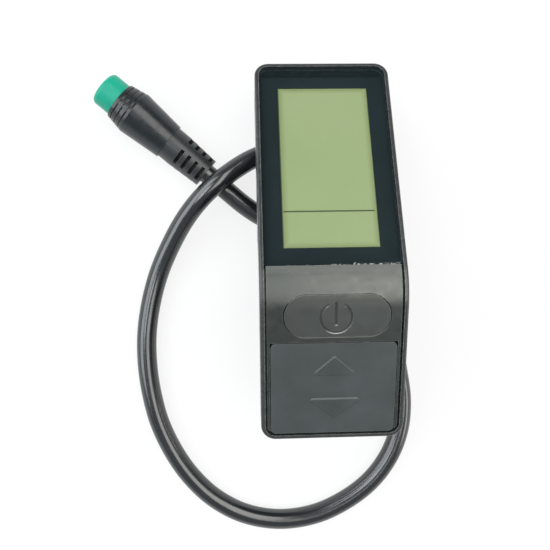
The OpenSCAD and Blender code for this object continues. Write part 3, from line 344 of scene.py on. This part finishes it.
def glossy_glass():
    """Clear lens: gloss on its faces, black side walls and small chips along its lower edge."""
    r = Recipe("lens_clear")
    shape = r.add("ShaderNodeNewGeometry").outputs
    clear = r.shader("ShaderNodeBsdfTransparent", Color=(0.97, 0.985, 0.98))
    gloss = r.shader("ShaderNodeBsdfGlossy", Color=(0.86, 0.97, 1.0),
                     Roughness=r.fit(r.noise(40, 1.0), 0.35, 0.75, 0.03, 0.06),
                     Normal=r.bump(r.noise(25, 0.0), 0.01))
    fresnel = r.shader("ShaderNodeFresnel", IOR=1.28)
    # The back faces get no gloss: a low view would be mirrored there in full, and the screen would go dark.
    outside = r.math("SUBTRACT", 1.0, shape["Backfacing"])
    body = r.blend(r.math("MULTIPLY", fresnel, outside), clear, gloss)
    is_wall = r.math("LESS_THAN", r.math("ABSOLUTE", r.dot(shape["True Normal"], SCREEN_UP)), WALL_COS)
    body = r.blend(is_wall, body, r.shader("ShaderNodeBsdfDiffuse", Color=(0.02, 0.031, 0.036)))
    # The chips grow in number and brightness towards the right.
    to_right = r.fit(r.along(X_WAY, RIDGE), *CHIP_SPAN, 0.2, 1.0)
    bites = r.math("POWER", r.fit(r.noise(1900, 6.0, 0.85), 0.46, 0.72), 1.6)
    reach = r.math("MULTIPLY_ADD", r.math("MULTIPLY", bites, to_right), CHIP_REACH, LENS_FOOT)
    chipped = r.math("LESS_THAN", r.along(SCREEN_WAY, RIDGE), reach)
    gaps = r.fit(r.noise(900, 2.0), 0.44, 0.5)
    pale = r.shader("ShaderNodeBsdfDiffuse", Color=r.mix(to_right, (0.22, 0.25, 0.23), (0.8, 0.83, 0.8)))
    r.surface(r.blend(r.math("MULTIPLY", chipped, gaps), body, pale))
    return r.material


# The window in the printed film, along x and along v, whose edges the painted shade on the glass follows
WINDOW_LEFT, WINDOW_RIGHT = -9.8, 10.1
WINDOW_MID, WINDOW_HALF = 28.45, 19.2


def screen_glass():
    """Display glass seen through its window: plain green, with painted shade that makes it a touch yellower
    and darker near its edge and nearly black at the edge itself.
    """
    r = Recipe("lcd_green")
    v = r.along(SCREEN_WAY, RIDGE)
    x = r.along(X_WAY, RIDGE)
    to_side = r.math("MINIMUM", r.math("SUBTRACT", x, WINDOW_LEFT), r.math("SUBTRACT", WINDOW_RIGHT, x))
    to_end = r.math("SUBTRACT", WINDOW_HALF, r.math("ABSOLUTE", r.math("SUBTRACT", v, WINDOW_MID)))
    inside = r.math("MINIMUM", to_side, to_end)
    plain = r.mix(r.swing(r.noise(45, 3.0)), (0.278, 0.335, 0.159), (0.307, 0.354, 0.179))
    # Painted shade: darker and yellower within 1.3 mm of the window's edge, nearly black right at it, as the
    # shadow of the window's wall.
    tone = r.mix(r.fit(inside, 0.1, 1.3), (0.21, 0.25, 0.1), plain)
    tone = r.mix(r.fit(inside, -0.05, 0.1), (0.03, 0.045, 0.02), tone)
    return r.solid(tone, r.swing(r.noise(500), 0.28, 0.4), r.bump(r.noise(7000, 2.0), 0.002), IOR=1.5)


def board():
    """Board under its mask: green, with a pattern of darker and paler areas."""
    r = Recipe("board_green")
    pour = r.fit(r.noise(260, 1.0), 0.5, 0.52)
    tone = r.mix(pour, (0.014, 0.13, 0.05), (0.03, 0.2, 0.085))
    return r.solid(tone, 0.35, r.bump(pour, 0.02), IOR=1.5, Coat_Weight=0.3)


def sheath():
    """Cable sheath: glossy black, very slightly wavy, with pale specks of dirt."""
    r = Recipe("cable_black")
    tone = r.mix(r.swing(r.noise(70, 3.0)), (0.009, 0.011, 0.013), (0.017, 0.019, 0.021))
    tone = r.mix(r.fit(r.noise(6000, 2.0), 0.66, 0.74, 0.0, 0.5), tone, (0.09, 0.09, 0.085))
    normal = r.bump(r.noise(5200, 2.0), 0.003, under=r.bump(r.noise(160, 2.0), 0.05))
    return r.solid(tone, r.swing(r.noise(240, 4.0, 0.65), 0.15, 0.22), normal, IOR=1.78)


# The boot's skin: radius at its cable end, growth along its axis and where the growth ends
BOOT_TIP_R = 3.62
BOOT_TAPER = 0.056
BOOT_TAPER_END = 8.0
# Depth below that skin from which a slot gets painted shade
SLOT_SHADE_FROM = 0.22


def boot():
    """Slotted boot: the rubber of the plug, with painted shade that makes it nearly black inside its slots.
    """
    r = Recipe("boot_black")
    along = r.along(PLUG_WAY, PLUG_AT)
    away = r.add("ShaderNodeVectorMath", operation="SUBTRACT")
    r.feed(away.inputs[0], r.place)
    r.feed(away.inputs[1], PLUG_AT * MM)
    offset = away.outputs["Vector"]
    square = r.math("MULTIPLY", r.dot(offset, offset), 1 / MM / MM)
    radius = r.math("SQRT", r.math("SUBTRACT", square, r.math("MULTIPLY", along, along)))
    skin = r.math("MULTIPLY_ADD", r.math("MINIMUM", along, BOOT_TAPER_END), BOOT_TAPER, BOOT_TIP_R)
    # Painted shade: what lies below the skin in the slots is darkened nearly to black.
    sunk = r.fit(r.math("SUBTRACT", skin, radius), 0.0, SLOT_SHADE_FROM)
    inside = r.math("MULTIPLY", sunk, r.fit(along, 0.2, 0.5))
    tone = r.mix(r.swing(r.noise(90, 4.0, 0.6)), (0.014, 0.016, 0.018), (0.02, 0.024, 0.026))
    tone = r.mix(r.math("MULTIPLY", r.edges(*EDGE_TONE_REACH), 0.6), tone, (0.13, 0.13, 0.125))
    tone = r.mix(inside, tone, (0.002, 0.002, 0.003))
    roughness = r.math("ADD", r.math("MULTIPLY", inside, 0.5), 0.34)
    return r.solid(tone, roughness, r.bump(r.noise(3000, 3.0, 0.6), 0.01), IOR=1.58, Specular_IOR_Level=0.5)


SKIN_EDGE_HIGHLIGHT = (0.34, 0.35, 0.32)
SKIN_TINT = (0.96, 1.0, 0.93)
finish_of = {
    "housing_black": moulded("housing_black", (0.03, 0.034, 0.036), 0.42, edge_wear_and_highlight=(0.17, 0.17, 0.16),
                             depth=0.01),
    # The rim's eased edges are painted pale, a painted highlight in place of the light lines they catch.
    "frame_black": moulded("frame_black", (0.033, 0.037, 0.038), 0.27, edge_wear_and_highlight=(0.5, 0.48, 0.42), edge_share=0.95,
                           depth=0.004, ior=1.55, reach=(0.7, 0.985)),
    "lens_clear": glossy_glass(),
    "film_black": moulded("film_black", (0.009, 0.017, 0.02), 0.6, depth=0.001, cloud=40, level=0.1),
    "lcd_green": screen_glass(),
    # The skin and the power key: a painted highlight on their edges and on faces turned towards the screen,
    # and on the power key painted shade in its sunk sign.
    "cover_black": moulded("cover_black", (0.01, 0.014, 0.015), 0.33, edge_wear_and_highlight=SKIN_EDGE_HIGHLIGHT, edge_share=0.7, depth=0.004,
                           ior=1.84, painted_highlight=(0.5, 0.75, (0.28, 0.29, 0.27), 0.75), tint=SKIN_TINT),
    "power_black": moulded("power_black", (0.037, 0.042, 0.043), 0.42, edge_wear_and_highlight=SKIN_EDGE_HIGHLIGHT, edge_share=0.5, depth=0.004,
                           ior=1.72, painted_highlight=(0.5, 0.72, (0.4, 0.41, 0.38), 0.9), tint=SKIN_TINT, recess_shade=0.9),
    # The rocker: a painted highlight on its edges and on faces turned towards the screen, and two patches of
    # painted shade over its arrows.
    "key_grey": moulded("key_grey", (0.047, 0.055, 0.056), 0.58, level=0.4, edge_wear_and_highlight=(0.24, 0.25, 0.24),
                        edge_share=0.4, depth=0.012, grain=3800, painted_highlight=(0.25, 0.65, (0.19, 0.2, 0.195), 0.4),
                        shade_patches=((0.1, 17.6, 4.2), (0.3, 26.0, 4.2))),
    "rubber_grey": moulded("rubber_grey", (0.16, 0.17, 0.18), 0.75, depth=0.01),
    "rubber_black": moulded("rubber_black", (0.01, 0.014, 0.017), 0.25, edge_wear_and_highlight=(0.16, 0.145, 0.125), edge_share=0.7,
                            depth=0.01, grain=3000, ior=1.54),
    "boot_black": boot(),
    "steel": metal("steel", (0.55, 0.56, 0.58), 0.3),
    "brass": metal("brass", (0.75, 0.56, 0.25), 0.28),
    "board_green": board(),
    "flex_amber": moulded("flex_amber", (0.5, 0.25, 0.06), 0.3, coat=0.4),
    "light_guide": moulded("light_guide", (0.8, 0.83, 0.8), 0.4),
    "white_plastic": moulded("white_plastic", (0.72, 0.72, 0.67), 0.45, spread=0.06),
    "strip_pink": moulded("strip_pink", (0.6, 0.33, 0.36), 0.7),
    "chip_black": moulded("chip_black", (0.02, 0.022, 0.025), 0.55, edge_wear_and_highlight=(0.1, 0.1, 0.1)),
    "aluminium": metal("aluminium", (0.7, 0.71, 0.73), 0.3),
    "cable_black": sheath(),
    "nose_green": moulded("nose_green", (0.005, 0.34, 0.222), 0.38, level=0.35, spread=0.14,
                          edge_wear_and_highlight=(0.12, 0.5, 0.36), edge_share=0.4),
    "wire_red": moulded("wire_red", (0.35, 0.04, 0.04), 0.35),
}


def dress(piece, look):
    """Give a piece one finish throughout."""
    materials = piece.data.materials
    if not materials:
        materials.append(finish_of[look])
    for i in range(len(materials)):
        materials[i] = finish_of[look]


look_of = {part["node"]: part["material_slot"] for part in frame["record"]["subparts"]}
look_of["plug_boot"] = "boot_black"
for node_name, look_name in look_of.items():
    for material_slot in nodes[node_name].material_slots:
        material_slot.material = finish_of[look_name]
dress(cable, "cable_black")


# Meshes
def mesh_object(name, vertices, faces):
    mesh = bpy.data.meshes.new(name)
    mesh.from_pydata([tuple(v) for v in vertices], [], faces)
    mesh.update()
    piece = bpy.data.objects.new(name, mesh)
    bpy.context.scene.collection.objects.link(piece)
    return piece


def rework(mesh, change):
    """Apply a change to a mesh in its editable form."""
    bm = bmesh.new()
    bm.from_mesh(mesh)
    change(bm)
    bm.to_mesh(mesh)
    bm.free()


def prism(name, outline, place, top, bottom, foot=None):
    """Closed prism from a counter-clockwise outline; place(x, y, depth) gives the row frame.

    top may be a function of (x, y), and foot is the outline at the bottom where that differs.
    """
    n = len(outline)
    depth = top if callable(top) else lambda x, y: top
    vertices = [place(x, y, depth(x, y)) for x, y in outline]
    vertices += [place(x, y, bottom) for x, y in foot or outline]
    faces = [list(range(n)), list(range(2 * n - 1, n - 1, -1))]
    faces += [[i, n + i, n + (i + 1) % n, (i + 1) % n] for i in range(n)]
    piece = mesh_object(name, vertices, faces)
    rework(piece.data, lambda bm: bmesh.ops.recalc_face_normals(bm, faces=bm.faces))
    return piece


def round_point(cx, cy, r, angle):
    return cx + r * cos(angle), cy + r * sin(angle)


def stadium(x0, y0, x1, y1, r, steps=10):
    """Outline of a slot from one centre to the other."""
    way = atan2(y1 - y0, x1 - x0)
    ends = ((x1, y1, way - pi / 2), (x0, y0, way + pi / 2))
    turns = [pi * k / steps for k in range(steps + 1)]
    return [round_point(cx, cy, r, start + turn) for cx, cy, start in ends for turn in turns]


def arc_band(cx, cy, r_in, r_out, start, end, steps=48, cap_steps=6):
    """Outline of part of a ring with rounded ends, angles in degrees."""
    a0, a1 = radians(start), radians(end)
    mid, half = (r_in + r_out) / 2, (r_out - r_in) / 2
    sweep = [a0 + (a1 - a0) * k / steps for k in range(steps + 1)]
    caps = [pi * k / cap_steps for k in range(1, cap_steps)]
    points = [round_point(cx, cy, r_out, a) for a in sweep]
    points += [round_point(*round_point(cx, cy, mid, a1), half, a1 + cap) for cap in caps]
    points += [round_point(cx, cy, r_in, a) for a in reversed(sweep)]
    points += [round_point(*round_point(cx, cy, mid, a0), -half, a0 + cap) for cap in caps]
    return points


def rounded_triangle(points, r, steps=5):
    """Outline of a triangle with rounded corners."""
    outline = []
    corners = [Vector(p) for p in points]
    for i, corner in enumerate(corners):
        before = (corners[i - 1] - corner).normalized()
        after = (corners[(i + 1) % 3] - corner).normalized()
        half = before.angle(after) / 2
        centre = corner + (before + after).normalized() * (r / sin(half))
        start = corner + before * (r / tan(half)) - centre
        end = corner + after * (r / tan(half)) - centre
        a0 = atan2(start.y, start.x)
        turn = (atan2(end.y, end.x) - a0 + pi) % (2 * pi) - pi
        outline += [round_point(centre.x, centre.y, r, a0 + turn * k / steps) for k in range(steps + 1)]
    return outline


def grown(points, by):
    """Triangle moved out by a distance on every side."""
    a, b, c = (Vector(p) for p in points)
    la, lb, lc = (b - c).length, (c - a).length, (a - b).length
    centre = (a * la + b * lb + c * lc) / (la + lb + lc)
    inner = abs((b - a).cross(c - a)) / (la + lb + lc)
    return [centre + (p - centre) * (1 + by / inner) for p in (a, b, c)]


# A face belongs to the CAD surface where it lies this close to it, in metres, and this parallel to it.
ON_SURFACE = 4e-6
PARALLEL = 0.998
# A corner's normal is read this share of the way to its face's middle, and kept above this cosine to the
# face's own.
INWARDS = 0.002
LEAST_COS = 0.6


def keep_normals(piece, source):
    """The CAD surface's own normals where the piece still follows it, and flat faces elsewhere."""
    tree = BVHTree.FromPolygons([v.co for v in source.vertices], [f.vertices for f in source.polygons])
    mesh = piece.data
    mesh.shade_smooth()
    normals = [None] * len(mesh.loops)
    for face in mesh.polygons:
        spot, way, index, away = tree.find_nearest(face.center)
        follows = away < ON_SURFACE and way.dot(face.normal) > PARALLEL
        for corner in face.loop_indices:
            normals[corner] = face.normal.copy()
            if follows:
                inside = mesh.vertices[mesh.loops[corner].vertex_index].co.lerp(face.center, INWARDS)
                spot, way, index, away = tree.find_nearest(inside)
                under = source.polygons[index]
                shares = poly_3d_calc([source.vertices[v].co for v in under.vertices], spot)
                total = Vector((0, 0, 0))
                for share, at in zip(shares, under.loop_indices):
                    total += source.corner_normals[at].vector * share
                if total.dot(face.normal) > LEAST_COS:
                    normals[corner] = total.normalized()
    mesh.normals_split_custom_set(normals)


# Edges that turn by less than this stay as they are.
EASE_ANGLE = radians(35)


def ease_edges(piece, width):
    ease = piece.modifiers.new("ease", "BEVEL")
    ease.width = width * MM
    ease.segments = 2
    ease.limit_method = "ANGLE"
    ease.angle_limit = EASE_ANGLE
    ease.use_clamp_overlap = True


def combine(piece, operation, tool):
    cut = piece.modifiers.new("cut", "BOOLEAN")
    cut.operation = operation
    cut.solver = "EXACT"
    cut.object = tool


def apply_modifiers(piece):
    done = bpy.data.meshes.new_from_object(piece.evaluated_get(bpy.context.evaluated_depsgraph_get()))
    piece.modifiers.clear()
    piece.data = done
    done.name = piece.name


# Vertices closer than this, in metres, are one.
MERGE = 1e-7


def carved(name, node, body, slot_name, look=None, cutters=(), reliefs=(), edge=0):
    """A copy of a CAD node, for which it stands, with shallow forms cut into it or set on it.

    edge is the width of its eased edges. look is its finish where that isn't the slot's.
    """
    piece = bpy.data.objects.new(name, nodes[node].data.copy())
    bpy.context.scene.collection.objects.link(piece)
    rework(piece.data, lambda bm: bmesh.ops.remove_doubles(bm, verts=bm.verts, dist=MERGE))
    if edge:
        ease_edges(piece, edge)
    for tool in cutters:
        combine(piece, "DIFFERENCE", tool)
    for tool in reliefs:
        combine(piece, "UNION", tool)
    apply_modifiers(piece)
    keep_normals(piece, nodes[node].data)
    for tool in (*cutters, *reliefs):
        bpy.data.objects.remove(tool)
    dress(piece, look or slot_name)
    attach(piece, body)
    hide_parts(node)


KEY_EDGE = 0.12

# The power sign is sunk: a ring, open at its top, and a bar. Both narrow from their mouth to their floor.
SIGN_X, SIGN_U = 0.36, 6.2
SIGN_FLOOR, SIGN_MOUTH = 0.34, -0.02
RING_FLOOR, RING_MOUTH = (3.06, 3.26), (2.74, 3.64)
RING_FLOOR_OPEN, RING_MOUTH_OPEN = 36, 32
BAR_TOP, BAR_FOOT = 3.1, -1.3
BAR_FLOOR_R, BAR_MOUTH_R = 0.2, 0.58


def sign_ring(radii, half_open):
    """The ring of the sign, open by an angle to each side of its top."""
    return arc_band(SIGN_X, -SIGN_U, *radii, 90 + half_open, 450 - half_open)


def sign_bar(r):
    return stadium(SIGN_X, BAR_TOP - SIGN_U, SIGN_X, BAR_FOOT - SIGN_U, r)


ring = prism("ring", sign_ring(RING_FLOOR, RING_FLOOR_OPEN), keys_up, SIGN_FLOOR, SIGN_MOUTH,
             foot=sign_ring(RING_MOUTH, RING_MOUTH_OPEN))
bar = prism("bar", sign_bar(BAR_FLOOR_R), keys_up, SIGN_FLOOR, SIGN_MOUTH, foot=sign_bar(BAR_MOUTH_R))
carved("power_key_top", "power_button", "power_key", "cover_black", look="power_black", cutters=(ring, bar),
       edge=KEY_EDGE)

# The arrows are ramps, highest at their upper side and nearly flush at their lower side.
UP_ARROW = ((0.14, -14.6), (-4.3, -18.5), (4.5, -18.5))
DOWN_ARROW = ((-5.2, -23.95), (0.26, -28.0), (5.8, -23.95))
ARROW_RISE, ARROW_LEAST, ARROW_FOOT = 0.14, 0.01, 0.14
ARROW_SPREAD = 0.3
ARROW_TOP_R, ARROW_FOOT_R = 0.3, 0.6


def arrow(name, points):
    high = max(y for x, y in points)
    low = min(y for x, y in points)
    return prism(name, rounded_triangle(points, ARROW_TOP_R), keys_up,
                 lambda x, y: -ARROW_LEAST - ARROW_RISE * (y - low) / (high - low), ARROW_FOOT,
                 foot=rounded_triangle(grown(points, ARROW_SPREAD), ARROW_FOOT_R))


carved("rocker_key_top", "rocker_button", "rocker", "key_grey",
       reliefs=(arrow("up_sign", UP_ARROW), arrow("down_sign", DOWN_ARROW)), edge=KEY_EDGE)

# The groove in the skin round the power key
PILL_X, PILL_U, PILL_HALF, PILL_R = 0.6, 5.825, 6.425, 4.535
GROOVE_FLOOR, GROOVE_MOUTH = 0.36, -0.05
GROOVE_FLOOR_R, GROOVE_MOUTH_R = PILL_R - 0.02, PILL_R + 0.42
GROOVE_STEPS = 24


def pill(r):
    return stadium(PILL_X + PILL_HALF, -PILL_U, PILL_X - PILL_HALF, -PILL_U, r, GROOVE_STEPS)


groove = prism("rim_cut", pill(GROOVE_FLOOR_R), keys_up, GROOVE_FLOOR, GROOVE_MOUTH,
               foot=pill(GROOVE_MOUTH_R))
carved("keypad_skin", "keypad_cover", "housing", "cover_black", cutters=(groove,))

# Dividing line of the display, just above its glass
LINE_LEFT, LINE_RIGHT = -9.6, 9.5
LINE_LOW, LINE_HIGH = 17.33, 17.64
LINE_TOP, LINE_BOTTOM = 1.41, 1.45
line_corners = (LINE_LEFT, LINE_LOW), (LINE_RIGHT, LINE_LOW), (LINE_RIGHT, LINE_HIGH), (LINE_LEFT, LINE_HIGH)
line = prism("screen_line", line_corners, on_screen, LINE_TOP, LINE_BOTTOM)
line.data.materials.append(moulded("line_dark", (0.05, 0.07, 0.025), 0.4))
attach(line, "housing")


# Floor, world and lamps, in metres
def seen_directly(n, mirror_share=None):
    """1 for rays that come from the eye, a mirror or glass. mirror_share limits the last two."""
    path = n.add("ShaderNodeLightPath").outputs
    mirrored = n.math("MAXIMUM", path["Is Glossy Ray"], path["Is Transmission Ray"])
    if mirror_share is not None:
        mirrored = n.math("MULTIPLY", mirrored, mirror_share)
    return n.math("MAXIMUM", path["Is Camera Ray"], mirrored)


FLOOR_HALF = 3.0
FLOOR_DROP = 2e-5
# The share of white in what the eye sees of the floor, near the object and far from it
NEAR, FAR = 0.2, 0.9
NEAR_WHITE, FAR_WHITE = 0.8, 1.0


def make_floor():
    """Pale floor that catches shadows near the object and is plain white far from it."""
    sides = ((-1, -1), (1, -1), (1, 1), (-1, 1))
    corners = [(x * FLOOR_HALF, y * FLOOR_HALF, -FLOOR_DROP) for x, y in sides]
    floor = mesh_object("floor", corners, [[0, 1, 2, 3]])
    r = Recipe("floor_pale")
    away = r.add("ShaderNodeVectorMath", operation="LENGTH")
    r.feed(away.inputs[0], r.place)
    white_share = r.fit(away.outputs["Value"], NEAR, FAR, NEAR_WHITE, FAR_WHITE)
    pale = r.shader("ShaderNodeBsdfDiffuse", Color=(0.86, 0.87, 0.87))
    glow = r.shader("ShaderNodeEmission", Color=(1, 1, 1), Strength=1.0)
    r.surface(r.blend(r.math("MULTIPLY", seen_directly(r), white_share), pale, glow))
    floor.data.materials.append(r.material)


# Height, on a sphere of radius 1, at which mirrored walls begin and end to fade into the ceiling
WALL_FADE = (0.1, 0.4)


def make_world():
    """White behind the object for the eye, white walls for mirrors and glass, and a soft grey for light."""
    world = bpy.data.worlds.new("studio")
    bpy.context.scene.world = world
    world.use_nodes = True
    n = Nodes(world.node_tree, "ShaderNodeOutputWorld")
    around = n.add("ShaderNodeSeparateXYZ")
    n.feed(around.inputs[0], n.add("ShaderNodeTexCoord").outputs["Generated"])
    wall = n.fit(around.outputs["Z"], *WALL_FADE, 1.0, 0.0)
    soft = n.shader("ShaderNodeBackground", Color=(0.93, 0.97, 1.0), Strength=0.32)
    white = n.shader("ShaderNodeBackground", Color=(1, 1, 1), Strength=1.0)
    n.surface(n.blend(seen_directly(n, wall), soft, white))


def lamp(name, place, target, width, height, radiance, colour):
    """Soft rectangular lamp of a plain radiance, aimed at a point."""
    data = bpy.data.lights.new(name, "AREA")
    data.shape = "RECTANGLE"
    data.size = width
    data.size_y = height
    data.energy = radiance * pi * width * height
    data.color = colour
    piece = bpy.data.objects.new(name, data)
    bpy.context.scene.collection.objects.link(piece)
    way = Vector(target) - Vector(place)
    piece.matrix_world = Matrix.Translation(place) @ way.to_track_quat("-Z", "Y").to_matrix().to_4x4()


make_floor()
make_world()
# The two lamps that point down aim 0.1 mm towards +Y, which keeps their width along x.
lamp("overhead", (0.2, 0.13, 0.62), (0.2, 0.1301, 0), 0.36, 0.68, 3.4, (1.0, 0.985, 0.94))
lamp("softbox_left", (-0.52, 0.16, 0.45), (-0.03, 0.0, 0.01), 0.9, 0.44, 3.3, (0.92, 0.97, 1.0))
lamp("window", (-0.24, 0.05, 0.6), (-0.24, 0.0501, 0), 0.18, 0.3, 5.0, (0.92, 0.97, 1.0))
lamp("softbox_right", (0.6, -0.15, 0.34), (0.0, -0.02, 0.01), 0.5, 0.25, 3.6, (1.0, 0.96, 0.9))

bpy.context.view_layer.update()
